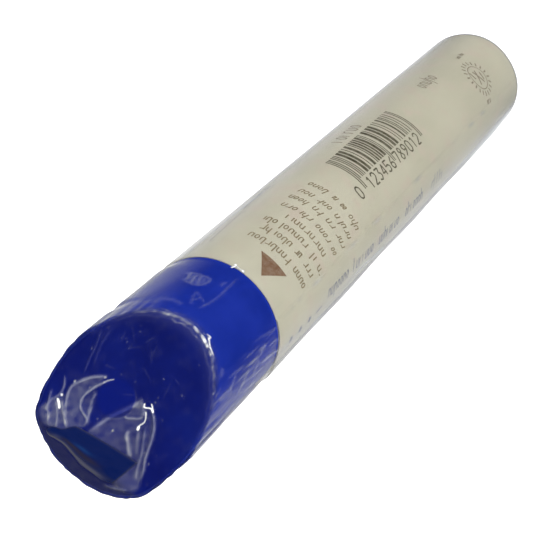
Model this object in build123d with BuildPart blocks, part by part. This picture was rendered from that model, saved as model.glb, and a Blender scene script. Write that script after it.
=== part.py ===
"""Artist's oil paint stick: a bar of oil paint in a paper sleeve, sealed in clear film.

The stick stands on its flat foot. The origin is the centre of that foot, +Z runs up the
stick's axis to the blunt nose, and the slanted drawing face looks towards -Y.
All sizes are in millimetres and all angles in degrees.
"""

from build123d import *
from math import cos, radians, sin, tan
import os

os.makedirs("parts", exist_ok=True)

# Driving dimensions of the whole stick.
overall_length = 133.4  # from the flat foot to the blunt nose, over the film
paint_diameter = 19.4  # the bare bar of paint
bare_length = 27.9  # from the paper's edge to the nose
nose_drop = 4.7  # how far below the nose the slanted face crosses the axis
slant_angle = 40.4  # between the slanted face's normal and the axis
edge_round = 0.4  # softened edges round the slanted face and the nose

# The paper sleeve, one sheet wound once round the bar and glued along a lap.
paper_thickness = 0.1
paper_clearance = 0.02  # between the bar and the paper
lap_azimuth = -135.7  # where the sheet's outer edge shows, counted from +X
lap_angle = 40.0  # how far the sheet lies over its own beginning
ramp_angle = 4.0  # over which the sheet climbs onto its beginning

# The clear film, closed over both ends.
film_thickness = 0.05
film_clearance = 0.03  # between the film and what it covers
film_step = 0.6  # length over which the film drops from the paper to the bare paint

# The film's gathered end, pressed flat as a tab on the slanted face below the nose.
tab_thickness = 0.1
tab_width = 10.4
tab_drop = 3.3  # how far the tab reaches down the slanted face
tab_skew = 2.5  # sideways lean of the tab's folded corner
tab_slope = 1.3  # how much higher one end of the tab's free edge lies
tab_sink = 0.02  # how deep the tab is welded into the film

# Values that follow.
paint_radius = paint_diameter / 2
film_gap = film_clearance + film_thickness  # from the paint to the outside of the film
paper_inner = paint_radius + paper_clearance
paper_middle = paper_inner + paper_thickness / 2
paper_outer = paper_inner + paper_thickness
lap_outer = paper_outer + paper_thickness
paper_top = overall_length - bare_length
paint_foot = film_gap
paint_nose = overall_length - film_gap
slant = radians(slant_angle)


def slanted_plane(outset):
    """The plane of the slanted face, moved out along its normal. Its y runs up the slope."""
    normal = (0, -sin(slant), cos(slant))
    crossing = paint_nose - nose_drop + outset / cos(slant)
    return Plane(origin=(0, 0, crossing), x_dir=(1, 0, 0), z_dir=normal)


def round_nose(form, outset):
    """Rounds the edges of the slanted face and of the blunt nose, and leaves the foot sharp."""
    low_side = paint_nose - nose_drop - paint_radius * tan(slant)
    upper = form.edges().filter_by(lambda edge: edge.center().Z > low_side - film_gap)
    seam_free = upper.filter_by(lambda edge: abs(edge.tangent_at(0.5).Z) < 0.95)
    fillet(seam_free, radius=edge_round + outset)


# The bar of paint: a cylinder cut off at a slant, with the tip of the slant taken off square.
with BuildPart() as paint_stick:
    with BuildSketch(Plane.XY.offset(paint_foot)):
        Circle(paint_radius)
    extrude(amount=paint_nose - paint_foot)
    split(bisect_by=slanted_plane(0), keep=Keep.BOTTOM)
    round_nose(paint_stick, 0)
paint_stick.part.label = "paint_stick"


# The paper sleeve: one turn of paper, and the lap that lies over the sheet's beginning.
with BuildPart() as paper_label:
    with BuildSketch(Plane.XY.offset(paint_foot)):
        Circle(paper_outer)
        with BuildLine():
            outer = CenterArc((0, 0), lap_outer, lap_azimuth, -lap_angle)
            inner = CenterArc((0, 0), paper_middle, lap_azimuth, -(lap_angle + ramp_angle))
            Line(inner @ 0, outer @ 0)
            Line(outer @ 1, inner @ 1)
        make_face()
        Circle(paper_inner, mode=Mode.SUBTRACT)
    extrude(amount=paper_top - paint_foot)
paper_label.part.label = "paper_label"


def film_form(outset):
    """The space inside a skin that lies outset from the paint and from the paper's lap."""
    over_paper = lap_outer + outset
    over_paint = paint_radius + outset
    with BuildPart() as form:
        with BuildSketch(Plane.XZ):
            with BuildLine():
                Polyline(
                    (0, paint_foot - outset),
                    (over_paper, paint_foot - outset),
                    (over_paper, paper_top + outset),
                    (over_paint, paper_top + outset + film_step),
                    (over_paint, paint_nose + outset),
                    (0, paint_nose + outset),
                    close=True,
                )
            make_face()
        revolve(axis=Axis.Z)
        split(bisect_by=slanted_plane(outset), keep=Keep.BOTTOM)
        round_nose(form, outset)
    return form.part


film_outside = film_form(film_gap)
film_inside = film_form(film_clearance)

# The film: a closed skin with its gathered end pressed flat below the nose.
with BuildPart() as film_wrap:
    add(film_outside)
    add(film_inside, mode=Mode.SUBTRACT)
    with BuildSketch(slanted_plane(film_gap - tab_sink)):
        with BuildLine():
            tab_top = (nose_drop - tab_thickness) / sin(slant)
            half = tab_width / 2
            Polyline(
                (half, tab_top),
                (half - tab_skew, tab_top - tab_drop + tab_slope),
                (-half, tab_top - tab_drop),
                (-half, tab_top),
                close=True,
            )
        make_face()
    extrude(amount=tab_thickness + tab_sink)
film_wrap.part.label = "film_wrap"


export_step(paint_stick.part, "parts/paint_stick.step")
export_step(paper_label.part, "parts/paper_label.step")
export_step(film_wrap.part, "parts/film_wrap.step")

for piece in (paint_stick, paper_label, film_wrap):
    box = piece.part.bounding_box()
    print(piece.part.label, "volume", round(piece.part.volume, 1), "box", box.min, box.max)
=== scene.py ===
# %% [markdown]
# # An artist's oil paint stick
#
# An oil paint stick is a bar of oil paint stiffened with wax, so that it can be held and
# drawn with like a crayon. This one is new: a slanted face is cut across its end, a paper
# sleeve is wound round the part that the hand holds, and clear film is shrunk over the whole
# bar to keep the paint from drying.
#
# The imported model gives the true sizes. It holds three solids, the bar, the paper and the
# film, and each is replaced here by a finer surface of the same size. Every surface is
# worked out with numpy, as a function of the angle round the stick and the height on it.

# %% Load the frame
import math

import bpy
import numpy as np
from mathutils import Matrix, Vector


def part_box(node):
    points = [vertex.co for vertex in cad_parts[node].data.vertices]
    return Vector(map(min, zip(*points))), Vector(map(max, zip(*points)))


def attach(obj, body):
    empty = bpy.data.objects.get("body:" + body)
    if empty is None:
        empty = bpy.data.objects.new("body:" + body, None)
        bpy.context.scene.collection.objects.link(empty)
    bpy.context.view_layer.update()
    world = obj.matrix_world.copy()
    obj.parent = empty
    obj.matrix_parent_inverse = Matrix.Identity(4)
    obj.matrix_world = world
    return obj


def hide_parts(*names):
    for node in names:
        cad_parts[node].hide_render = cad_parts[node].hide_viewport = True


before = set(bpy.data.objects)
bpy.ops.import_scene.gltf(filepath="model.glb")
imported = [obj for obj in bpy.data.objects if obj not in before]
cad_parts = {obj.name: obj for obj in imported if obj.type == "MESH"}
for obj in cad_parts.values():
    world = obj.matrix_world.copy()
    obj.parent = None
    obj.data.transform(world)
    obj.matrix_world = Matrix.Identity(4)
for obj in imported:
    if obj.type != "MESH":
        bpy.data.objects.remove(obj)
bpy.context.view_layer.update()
MM = 0.001
ROOT = "root"

# %% [markdown]
# ## Sizes
#
# Heights are measured from the flat foot that the stick stands on, and angles run round the
# stick from +X, so that -90 degrees is the front, where the slanted face looks. Radii and
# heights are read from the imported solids. What the solids' boxes can't say, such as the
# slant of the face, is written down once here.

# %% Read the sizes from the frame
bar_low, bar_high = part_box("paint_stick")
sleeve_low, sleeve_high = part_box("paper_label")
wrap_low, wrap_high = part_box("film_wrap")

BAR_RADIUS = bar_high.x
BAR_FOOT = bar_low.z
NOSE = bar_high.z
PAPER_TOP = sleeve_high.z
PAPER_RADIUS = sleeve_high.x
WRAP_RADIUS = wrap_high.x

SLANT = math.radians(40.4)  # between the slanted face's normal and the stick's axis
NOSE_DROP = 4.7 * MM  # how far below the nose the slanted face crosses the axis
CROSSING = NOSE - NOSE_DROP
EDGE_ROUND = 0.45 * MM  # softened edges of the moulded paint
PAPER_THICKNESS = 0.1 * MM
LAP_EDGE = math.radians(-135.7)  # where the paper's outer edge shows
LAP_ANGLE = math.radians(40)
RAMP_ANGLE = math.radians(4)

for label, size in (("bar radius", BAR_RADIUS), ("nose", NOSE), ("paper's edge", PAPER_TOP)):
    print(label, round(size / MM, 2), "mm")

# %% [markdown]
# ## From arrays to a mesh
#
# A closed skin is a stack of rings between two poles. Each ring has the same number of
# points, so the faces can be written as one block of index arithmetic. The alternative is
# to add vertices one at a time with bmesh, which is slower and hides the shape in a loop.

# %% Mesh helpers
def new_piece(name, points, quads, triangles=None, smooth=True):
    """A mesh object from whole arrays: points (n, 3), quads (q, 4) and triangles (t, 3)."""
    faces = quads.tolist() + ([] if triangles is None else triangles.tolist())
    mesh = bpy.data.meshes.new(name)
    mesh.from_pydata(points.tolist(), [], faces)
    mesh.polygons.foreach_set("use_smooth", np.full(len(mesh.polygons), smooth))
    mesh.update()
    piece = bpy.data.objects.new(name, mesh)
    bpy.context.scene.collection.objects.link(piece)
    print(name, "points", len(points), "faces", len(mesh.polygons))
    return piece


def ring_quads(rings, around, wrap_rings=False):
    """Faces between neighbouring rings: point (i, j) has the index i * around + j."""
    last = rings if wrap_rings else rings - 1
    i, j = np.meshgrid(np.arange(last), np.arange(around), indexing="ij")
    up, right = (i + 1) % rings, (j + 1) % around
    corners = (i * around + j, i * around + right, up * around + right, up * around + j)
    return np.stack([c.ravel() for c in corners], axis=1)


def closed_skin(name, low_pole, rings, high_pole):
    """A closed surface: rings (r, a, 3) run anticlockwise seen from above, from the low
    pole to the high pole, so that every face points outwards."""
    count, around = rings.shape[:2]
    points = np.concatenate([rings.reshape(-1, 3), [low_pole, high_pole]])
    low, high = count * around, count * around + 1
    j = np.arange(around)
    right = (j + 1) % around
    top = (count - 1) * around
    caps = np.concatenate(
        [
            np.stack([np.full(around, low), right, j], axis=1),
            np.stack([np.full(around, high), top + j, top + right], axis=1),
        ]
    )
    return new_piece(name, points, ring_quads(count, around), caps)


def paint_attribute(piece, name, values):
    """Stores one number a point, which a material can read by its name."""
    layer = piece.data.attributes.new(name, "FLOAT", "POINT")
    layer.data.foreach_set("value", np.asarray(values, np.float32))


def smooth_step(low, high, x):
    """0 below low, 1 above high, and 3t^2 - 2t^3 between them."""
    t = np.clip((x - low) / (high - low), 0, 1)
    return t * t * (3 - 2 * t)


def window(a, b, c, d, x):
    """0 below a, 1 from b to c, and 0 again above d, with smooth ramps between."""
    return smooth_step(a, b, x) * (1 - smooth_step(c, d, x))


def bell(x, width):
    """1 at x = 0, and falling to both sides: exp(-(x / width)^2)."""
    return np.exp(-((x / width) ** 2))


# %% [markdown]
# ## Soft noise
#
# Wax, paper and film are never quite even. A sum of a few sine waves in different
# directions gives a smooth unevenness that is the same on every run. Random vertex offsets
# would be rough at the size of the mesh and would change with it.

# %% A repeatable noise
def ripples(a, b, seed, waves=9, low=1.0, high=4.0):
    """Sum of sines: mean of sin(f1 a + f2 b + phase), with frequencies from low to high in
    seeded directions. It lies between about -1 and 1."""
    draw = np.random.default_rng(seed)
    total = np.zeros(np.broadcast(a, b).shape)
    for _ in range(waves):
        size, turn, phase = draw.uniform(low, high), draw.uniform(0, 2 * np.pi), draw.uniform(0, 6.3)
        total += np.sin(size * np.cos(turn) * a + size * np.sin(turn) * b + phase)
    return total / math.sqrt(waves)


def around_noise(angle, height, seed, turns=3, pitch=10 * MM, waves=9):
    """The same noise on the stick's side: only whole numbers of waves go round, so that it
    closes on itself where the angle comes round."""
    draw = np.random.default_rng(seed)
    total = np.zeros(np.broadcast(angle, height).shape)
    for _ in range(waves):
        count, phase = draw.integers(1, turns + 1), draw.uniform(0, 6.3)
        lift = draw.uniform(-2 * np.pi, 2 * np.pi) / pitch
        total += np.sin(count * angle + lift * height + phase)
    return total / math.sqrt(waves)


# %% [markdown]
# ## The end of the bar
#
# Seen from the side, the end is two straight cuts: the slanted face, and the square nose
# that takes the sharp tip off it. The height of the end is the lower of the two planes at
# each place, and a soft minimum rounds the edge where they meet. Cutting a cylinder twice
# gives the same planes, but then each edge has to be rounded by a tool of its own.

# %% Height of the end over each point
def soft_min(a, b, width):
    """The lower of a and b, rounded over about width where they cross."""
    blend = np.clip(0.5 + 0.5 * (b - a) / width, 0, 1)
    return b * (1 - blend) + a * blend - width * blend * (1 - blend)


def end_height(x, y, rise=0.0):
    """z of the end: crossing + y tan(slant), but no higher than the nose, plus rise."""
    slanted = CROSSING + rise + y * math.tan(SLANT)
    return soft_min(slanted, NOSE + rise + 0 * x, 0.5 * MM)


def end_rings(angles, radius, count):
    """Rings from the rim to the middle of the end. At a share s of the radius the height is
    end_height, less the fall of a quarter circle within one edge width of the rim."""
    inward = np.linspace(0, 1, count + 1)[:-1]
    share = 1 - inward**1.25
    rho = (share * radius)[:, None]
    x, y = rho * np.cos(angles), rho * np.sin(angles)
    into = np.clip(EDGE_ROUND - (radius - rho), 0, EDGE_ROUND)
    fall = EDGE_ROUND - np.sqrt(EDGE_ROUND**2 - into**2)
    return np.stack([x, y, end_height(x, y) - fall], axis=-1)


# %% [markdown]
# ## The bar of paint
#
# The bar is one moulded piece, so it is one closed skin: a flat foot, a straight side, and
# the end. Wax sets with a fine grain, which is left to the finish. A cylinder with a boolean
# cut would leave a razor edge and long thin faces.

# %% Build the bar
AROUND = 288
SPOT_X = 1.4  # where the film presses on the end: across it, and up its slope, in mm
SPOT_V = -0.4
angles = np.linspace(0, 2 * np.pi, AROUND, endpoint=False)


def side_rings(angles, radius, low, top, heights):
    """Rings up the side: at share h the height is low + h (top - low), where top may differ
    round the ring, so that the rings lean over towards the slanted rim."""
    z = low + heights[:, None] * (top[None, :] - low)
    r = np.broadcast_to(radius, z.shape)
    return np.stack([r * np.cos(angles), r * np.sin(angles), z], axis=-1)


def foot_rings(angles, radius, z, count):
    """Flat rings from the middle of the foot out to its edge."""
    rho = (np.arange(1, count + 1) / count)[:, None] * radius
    return np.stack([rho * np.cos(angles), rho * np.sin(angles), z + 0 * rho * angles], axis=-1)


def build_bar():
    """The bar's skin: a flat disc, a straight side and the end, ring by ring. Its attribute
    pressed is 1 within 2.15 mm of the spot where the film touches the paint, and 0 outside."""
    top = end_rings(angles, BAR_RADIUS, 60)
    foot = foot_rings(angles, BAR_RADIUS - 0.2 * MM, BAR_FOOT, 4)
    heights = np.linspace(0, 1, 81)[:-1]
    side = side_rings(angles, BAR_RADIUS, BAR_FOOT + 0.2 * MM, top[0, :, 2], heights)
    rings = np.concatenate([foot, side, top])
    middle = (0, 0, float(end_height(np.array(0.0), np.array(0.0))))
    piece = closed_skin("oil_paint_bar", (0, 0, BAR_FOOT), rings, middle)
    x = rings[..., 0].ravel() / MM - SPOT_X
    y = rings[..., 1].ravel() / math.cos(SLANT) / MM - SPOT_V
    on_end = np.repeat(np.arange(len(rings)) >= len(foot) + len(side), AROUND)
    spot = (1 - smooth_step(2.15, 2.55, np.hypot(x, y))) * on_end
    paint_attribute(piece, "pressed", np.append(spot, [0, 1]))
    return piece


oil_paint_bar = build_bar()
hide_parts("paint_stick")
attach(oil_paint_bar, ROOT)

# %% [markdown]
# ## The paper sleeve
#
# The sleeve is a sheet wound once round the bar and glued where it laps over itself. Its
# section is the same at every height: a ring whose outside steps out by one thickness at
# the lap's edge, and comes back down a short ramp at the lap's other side. A ring of
# points that goes up the outside and down the inside makes it a closed shell, so the cut
# edge of the paper shows. A flat sheet with thickness added would have no lap.

# %% Build the sleeve
def sleeve_outside(angle):
    """Radius of the paper's outside: one thickness more within the lap."""
    past = (LAP_EDGE - angle) % (2 * np.pi)
    on_lap = 1 - smooth_step(LAP_ANGLE, LAP_ANGLE + RAMP_ANGLE, past)
    return PAPER_RADIUS + PAPER_THICKNESS * on_lap


def sleeve_angles(around, sharp=math.radians(1.6)):
    """Even angles, with one close pair at the lap's edge so that its step is crisp."""
    even = LAP_EDGE + np.linspace(0, 2 * np.pi, around, endpoint=False)
    return np.concatenate([[even[0]], [even[0] + sharp], even[1:]])


def build_sleeve():
    """At every angle the points run up the outside, at the radius sleeve_outside, and down
    the inside, at the paper's radius less its thickness."""
    turn = sleeve_angles(AROUND)
    outer = sleeve_outside(turn)
    inner = np.full_like(outer, PAPER_RADIUS - PAPER_THICKNESS)
    low, high = BAR_FOOT, PAPER_TOP
    rise = np.linspace(low, high, 90)
    up = [(outer, z) for z in rise]
    down = [(inner, z) for z in rise[::-3]]
    sections = [(r * np.cos(turn), r * np.sin(turn), np.full_like(turn, z)) for r, z in up + down]
    rings = np.stack([np.stack(section, axis=-1) for section in sections])
    quads = ring_quads(len(rings), len(turn), wrap_rings=True)
    piece = new_piece("paper_sleeve", rings.reshape(-1, 3), quads)
    piece.data.set_sharp_from_angle(angle=math.radians(40))
    return piece


paper_sleeve = build_sleeve()
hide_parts("paper_label")
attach(paper_sleeve, ROOT)

# %% [markdown]
# ## Materials: a small kit
#
# Each finish is a Principled shader with a few texture nodes in front of it. The helpers
# only save typing: each adds one node, sets its sockets and joins it to the ones before it.

# %% Node helpers
def blank_material(name):
    """A new material with an empty node tree. Returns both."""
    material = bpy.data.materials.new(name)
    material.use_nodes = True
    material.node_tree.nodes.clear()
    return material, material.node_tree


def add_node(tree, kind, **inputs):
    """Adds a node and sets its sockets by name, or by number for names like _0."""
    node = tree.nodes.new(kind)
    for key, value in inputs.items():
        name = int(key[1:]) if key[1:].isdigit() else key.replace("_", " ")
        node.inputs[name].default_value = value
    return node


def link(tree, source, target):
    """Joins an output socket to an input socket."""
    tree.links.new(source, target)


def finish_surface(tree, shader):
    """Sends a shader node to the surface of the material."""
    output = tree.nodes.new("ShaderNodeOutputMaterial")
    link(tree, shader.outputs[0], output.inputs["Surface"])


def colour_mix(tree, share, first, second):
    """A colour that goes from first to second with share, a socket."""
    mix = tree.nodes.new("ShaderNodeMix")
    mix.data_type = "RGBA"
    link(tree, share, mix.inputs[0])
    for value, target in ((first, mix.inputs[6]), (second, mix.inputs[7])):
        if isinstance(value, tuple):
            target.default_value = (*value, 1)
        else:
            link(tree, value, target)
    return mix.outputs[2]


def spread(tree, source, low, high, to_low=0.0, to_high=1.0):
    """Map Range: low..high of source becomes to_low..to_high, with no overshoot."""
    node = add_node(tree, "ShaderNodeMapRange", _1=low, _2=high, _3=to_low, _4=to_high)
    link(tree, source, node.inputs[0])
    return node.outputs[0]


def noise(tree, coordinates, scale, detail=3.0, roughness=0.5):
    """Noise from 0 to 1 with scale lumps a metre."""
    node = add_node(tree, "ShaderNodeTexNoise", Scale=scale, Detail=detail, Roughness=roughness)
    link(tree, coordinates, node.inputs["Vector"])
    return node.outputs[0]


def object_place(tree, stretch=(1, 1, 1)):
    """Object coordinates, stretched along the stick where the pattern is drawn out."""
    place = tree.nodes.new("ShaderNodeTexCoord")
    if stretch == (1, 1, 1):
        return place.outputs["Object"]
    mapping = tree.nodes.new("ShaderNodeMapping")
    mapping.inputs["Scale"].default_value = stretch
    link(tree, place.outputs["Object"], mapping.inputs["Vector"])
    return mapping.outputs[0]


def attribute(tree, name):
    """The value that paint_attribute stored under this name."""
    node = tree.nodes.new("ShaderNodeAttribute")
    node.attribute_name = name
    return node.outputs["Fac"]


def math_node(tree, operation, *values):
    """A Math node. Each value is a number or a socket."""
    node = tree.nodes.new("ShaderNodeMath")
    node.operation = operation
    for k, value in enumerate(values):
        if isinstance(value, (int, float)):
            node.inputs[k].default_value = value
        else:
            link(tree, value, node.inputs[k])
    return node.outputs[0]


def mixed(tree, share, first, second):
    """A Mix Shader node: first where share is 0, second where it is 1."""
    mix = tree.nodes.new("ShaderNodeMixShader")
    link(tree, share, mix.inputs[0])
    link(tree, first, mix.inputs[1])
    link(tree, second, mix.inputs[2])
    return mix


def dress(piece, material):
    """Gives a piece its only material."""
    piece.data.materials.clear()
    piece.data.materials.append(material)


# %% [markdown]
# ## Paint finish
#
# Ultramarine in wax is a deep, slightly violet blue. The slanted face is given a darker blue
# than the side as painted shade, so the colour follows the height of the surface's normal:
# faces that look up the stick are cut faces and get the darker blue. Two materials would
# need a hard border between them.

# %% Paint material
def paint_material():
    """Two mottled blues, mixed by how far the surface looks up the stick: the darker cut blue is
    painted shade. The cut blue gets patches, and a lighter tone where the film presses on it."""
    material, tree = blank_material("ultramarine_oil_paint")
    place = object_place(tree)
    cloud = noise(tree, place, 160, 4)
    mottle = spread(tree, cloud, 0.35, 0.7)
    side = colour_mix(tree, mottle, (0.008, 0.029, 0.325), (0.014, 0.039, 0.385))
    cut = colour_mix(tree, mottle, (0.001, 0.006, 0.130), (0.003, 0.011, 0.175))
    normal = tree.nodes.new("ShaderNodeNewGeometry")
    split = tree.nodes.new("ShaderNodeSeparateXYZ")
    link(tree, normal.outputs["Normal"], split.inputs[0])
    # Painted shade: faces that look up the stick get the darker cut blue.
    upward_shade = spread(tree, split.outputs[2], 0.02, 0.16)
    cut = colour_mix(tree, attribute(tree, "pressed"), cut, (0.001, 0.009, 0.185))
    patchy = spread(tree, noise(tree, object_place(tree, (1, 0.6, 1)), 90, 3), 0.52, 0.68)
    cut = colour_mix(tree, patchy, cut, (0.002, 0.013, 0.190))
    colour = colour_mix(tree, upward_shade, side, cut)
    grain = noise(tree, place, 900, 3, 0.6)
    bump = add_node(tree, "ShaderNodeBump", Strength=0.25, Distance=0.00008)
    link(tree, grain, bump.inputs["Height"])
    shader = add_node(tree, "ShaderNodeBsdfPrincipled", Roughness=0.5)
    shader.inputs["Specular IOR Level"].default_value = 0.06
    link(tree, colour, shader.inputs["Base Color"])
    link(tree, bump.outputs[0], shader.inputs["Normal"])
    finish_surface(tree, shader)
    return material


dress(oil_paint_bar, paint_material())

# %% [markdown]
# ## Paper finish
#
# Cream coated paper: almost even, with a faint warm and cool clouding and a fine tooth.
# Noise in the material never repeats, as a scanned sheet would.

# %% Paper material
def paper_material():
    """Two creams mixed by a cloudy noise, a pinker one in small patches, and a fine bump."""
    material, tree = blank_material("cream_label_paper")
    place = object_place(tree)
    cloud = spread(tree, noise(tree, place, 60, 3), 0.35, 0.7)
    colour = colour_mix(tree, cloud, (0.545, 0.528, 0.420), (0.605, 0.585, 0.475))
    tint = spread(tree, noise(tree, place, 330, 3), 0.5, 0.72)
    colour = colour_mix(tree, tint, colour, (0.590, 0.535, 0.445))
    tooth = noise(tree, place, 2500, 2, 0.6)
    bump = add_node(tree, "ShaderNodeBump", Strength=0.15, Distance=0.00004)
    link(tree, tooth, bump.inputs["Height"])
    shader = add_node(tree, "ShaderNodeBsdfPrincipled", Roughness=0.7)
    shader.inputs["Specular IOR Level"].default_value = 0.25
    link(tree, colour, shader.inputs["Base Color"])
    link(tree, bump.outputs[0], shader.inputs["Normal"])
    finish_surface(tree, shader)
    return material


dress(paper_sleeve, paper_material())

# %% [markdown]
# ## Ink on the sleeve
#
# The print is made of thin flat shapes that lie a hundredth of a millimetre above the
# paper, as ink does. Strokes are drawn on the unrolled sheet, where x is the length round
# the stick and y is the height, and the whole drawing is then rolled up: x becomes an
# angle. A painted image would blur from close by.

# %% Drawing on the unrolled sheet
INK_LIFT = 0.012 * MM


def ribbon(path, width, step=0.25):
    """A stroke of constant width along a path of (x, y) points in mm: the path is resampled
    every step, and two edges lie half a width to each side of it. Returns points, quads."""
    path = np.asarray(path, float)
    run = np.concatenate([[0], np.cumsum(np.hypot(*np.diff(path, axis=0).T))])
    places = np.linspace(0, run[-1], max(2, int(math.ceil(run[-1] / step)) + 1))
    line = np.stack([np.interp(places, run, path[:, k]) for k in (0, 1)], axis=1)
    along = np.gradient(line, axis=0)
    along /= np.linalg.norm(along, axis=1, keepdims=True)
    side = np.stack([-along[:, 1], along[:, 0]], axis=1) * width / 2
    points = np.concatenate([line + side, line - side])
    n = len(line)
    i = np.arange(n - 1)
    return points, np.stack([i + n, i + n + 1, i + 1, i], axis=1)


def rolled(name, strokes, angle_0, height_0):
    """Joins flat strokes and rolls them up: a point (x, y) in mm goes to the angle
    angle_0 + x / paper radius and the height height_0 + y, on top of the paper."""
    points, quads, base = [], [], 0
    for p, q in strokes:
        points.append(p)
        quads.append(q + base)
        base += len(p)
    flat = np.concatenate(points) * MM
    angle = angle_0 + flat[:, 0] / PAPER_RADIUS
    r = sleeve_outside(angle) + INK_LIFT
    solid = np.stack([r * np.cos(angle), r * np.sin(angle), height_0 + flat[:, 1]], axis=1)
    piece = new_piece(name, solid, np.concatenate(quads))
    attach(piece, ROOT)
    return piece


def ink(name, colour, roughness=0.6):
    """Printing ink: a flat colour that thins out a little in places, where the paper shows."""
    material, tree = blank_material(name)
    thin = spread(tree, noise(tree, object_place(tree), 1500, 2), 0.3, 0.65)
    worn = tuple(0.8 * c + 0.2 * p for c, p in zip(colour, (0.57, 0.545, 0.43)))
    shader = add_node(tree, "ShaderNodeBsdfPrincipled", Roughness=roughness)
    shader.inputs["Specular IOR Level"].default_value = 0.25
    link(tree, colour_mix(tree, thin, colour, worn), shader.inputs["Base Color"])
    finish_surface(tree, shader)
    return material


FRONT_OF_PRINT = math.radians(-98)  # the print is centred on this line
pen = np.random.default_rng(38)

# %% [markdown]
# ## Rows of small print
#
# Instructions on a wrapper are rows of words. Here each letter is a stem with an arch, a
# bowl or a bar, picked at random, which reads as small print but spells nothing. Rows of
# real letters would be somebody's words.

# %% The rows of small print
def bow(turn, wide, middle, rise, side=-1):
    """Part of an oval: x = w/2 + side w/2 cos(turn) and y = middle + rise sin(turn)."""
    return np.stack([wide / 2 + side * wide / 2 * np.cos(turn), middle + rise * np.sin(turn)], axis=1)


def scribble(x, y, length, size, lean, width):
    """One word: upright stems with arches, bowls or bars between them, picked at random, one
    letter every 0.8 of the x-height. lean shears it as an italic."""
    letters = max(2, round(length / (0.8 * size)))
    pitch = length / letters
    wide, turn = 0.62 * pitch, np.linspace(0, np.pi, 7)
    strokes = []
    for k in range(letters):
        left, kind = x + k * pitch, pen.integers(0, 5)
        top = size * (1.6 if pen.uniform() < 0.22 else 1.0)
        low = -0.5 * size if pen.uniform() < 0.08 else 0.0
        paths = [[(0, low), (0, top)]]
        if kind == 0:
            paths.append(bow(turn, wide, 0.55 * size, 0.45 * size))
            paths.append([(wide, 0.55 * size), (wide, 0)])
        elif kind == 1:
            paths = [bow(2 * turn, wide, size / 2, size / 2, 1)]
        elif kind == 2:
            paths.append(bow(turn, wide, 0.45 * size, -0.45 * size))
            paths.append([(wide, 0.45 * size), (wide, size)])
        elif kind == 3:
            paths.append([(0, 0.8 * size), (wide, size)])
        for path in paths:
            path = np.asarray(path, float)
            at = np.stack([left + path[:, 0] + lean * path[:, 1], y + path[:, 1]], axis=1)
            strokes.append(ribbon(at, width, 0.12))
    return strokes


def print_row(height, row_length, words, size, lean, width):
    """A row centred on x = 0, with words sized in proportion to the numbers in words."""
    gap = 0.75 * size
    unit = (row_length - gap * (len(words) - 1)) / sum(words)
    x, strokes = -row_length / 2, []
    for letters in words:
        strokes += scribble(x, height, letters * unit, size, lean, width)
        x += letters * unit + gap
    return strokes


UPRIGHT_ROWS = [  # height from the paper's edge, length, and the words' sizes
    (-9.5, 11.3, (5, 11)),
    (-12.3, 10.5, (4, 2, 9)),
    (-14.9, 13.0, (3, 2, 13)),
    (-17.4, 8.7, (11,)),
]
LEANING_ROWS = [
    (-20.1, 11.3, (2, 5, 8)),
    (-23.0, 11.6, (4, 3, 3, 5)),
    (-25.5, 10.8, (7, 4, 4)),
    (-28.4, 10.5, (5, 2, 2, 6)),
]


def small_print():
    """Four upright rows, and four leaning rows below them."""
    strokes = []
    for height, length, words in UPRIGHT_ROWS:
        strokes += print_row(height, length, words, size=1.15, lean=0.0, width=0.19)
    for height, length, words in LEANING_ROWS:
        strokes += print_row(height, length, words, size=1.05, lean=0.25, width=0.17)
    return rolled("small_print_rows", strokes, FRONT_OF_PRINT, PAPER_TOP)


small_print_rows = small_print()
dress(small_print_rows, ink("grey_brown_ink", (0.245, 0.190, 0.105)))

# %% [markdown]
# ## The arrowhead
#
# A brown arrowhead points at the paint. It is a fine grid and not one triangle, so that it
# bends round the sleeve with the paper.

# %% The arrowhead
def arrowhead(width=4.9, height=4.3, rows=12):
    """A triangle whose rows shrink evenly to its tip: x from -w(1-t)/2 to w(1-t)/2."""
    t = np.linspace(0, 1, rows)
    across = np.linspace(-0.5, 0.5, 9)
    x = width * (1 - t)[:, None] * across
    y = np.broadcast_to(height * t[:, None], x.shape)
    i, j = np.meshgrid(np.arange(rows - 1), np.arange(8), indexing="ij")
    a = (i * 9 + j).ravel()
    return np.stack([x.ravel(), y.ravel()], axis=1), np.stack([a, a + 1, a + 10, a + 9], axis=1)


arrow = rolled("brown_arrow", [arrowhead()], math.radians(-99.9), PAPER_TOP - 6.4 * MM)
dress(arrow, ink("brown_ink", (0.235, 0.125, 0.070)))

# %% [markdown]
# ## The bars
#
# A block of bars stands for the price code. The bars have random widths, so they hold no
# number. Each is one short thick stroke round the stick.

# %% The block of bars
MODULE = 0.2565  # the narrowest bar, in mm
BAR_TOP = -35.7  # first bar, below the paper's edge, in mm
SHORT_BAR = (0.15, 6.0)  # x where an ordinary bar starts and ends
LONG_BAR = (-1.55, 6.0)
BLOCK = 42  # modules in each block
EVEN = {"guard": [1, 1, 1], "middle": [1, 1, 1, 1, 1]}


def bar_widths(count):
    """Bars and gaps in turn, one to three modules wide, that fill count modules."""
    widths = []
    while sum(widths) < count:
        widths.append(int(pen.choice([1, 1, 2, 2, 3])))
    widths[-1] -= sum(widths) - count
    return [w for w in widths if w > 0]


def bars():
    """Guard, block, middle, block, guard: guards and middle are pairs of long thin bars."""
    strokes, down = [], 0
    for part in ("guard", "block", "middle", "block", "guard"):
        widths = bar_widths(BLOCK) if part == "block" else EVEN[part]
        black = part == "guard"
        x_low, x_high = SHORT_BAR if part == "block" else LONG_BAR
        for width in widths:
            if black:
                y = BAR_TOP - (down + width / 2) * MODULE
                strokes.append(ribbon([(x_low, y), (x_high, y)], width * MODULE * 0.96, 0.3))
            down += width
            black = not black
    return strokes


bar_block = rolled("price_bars", bars(), FRONT_OF_PRINT, PAPER_TOP)
dark_ink = ink("dark_olive_ink", (0.085, 0.075, 0.045))
dress(bar_block, dark_ink)

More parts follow.
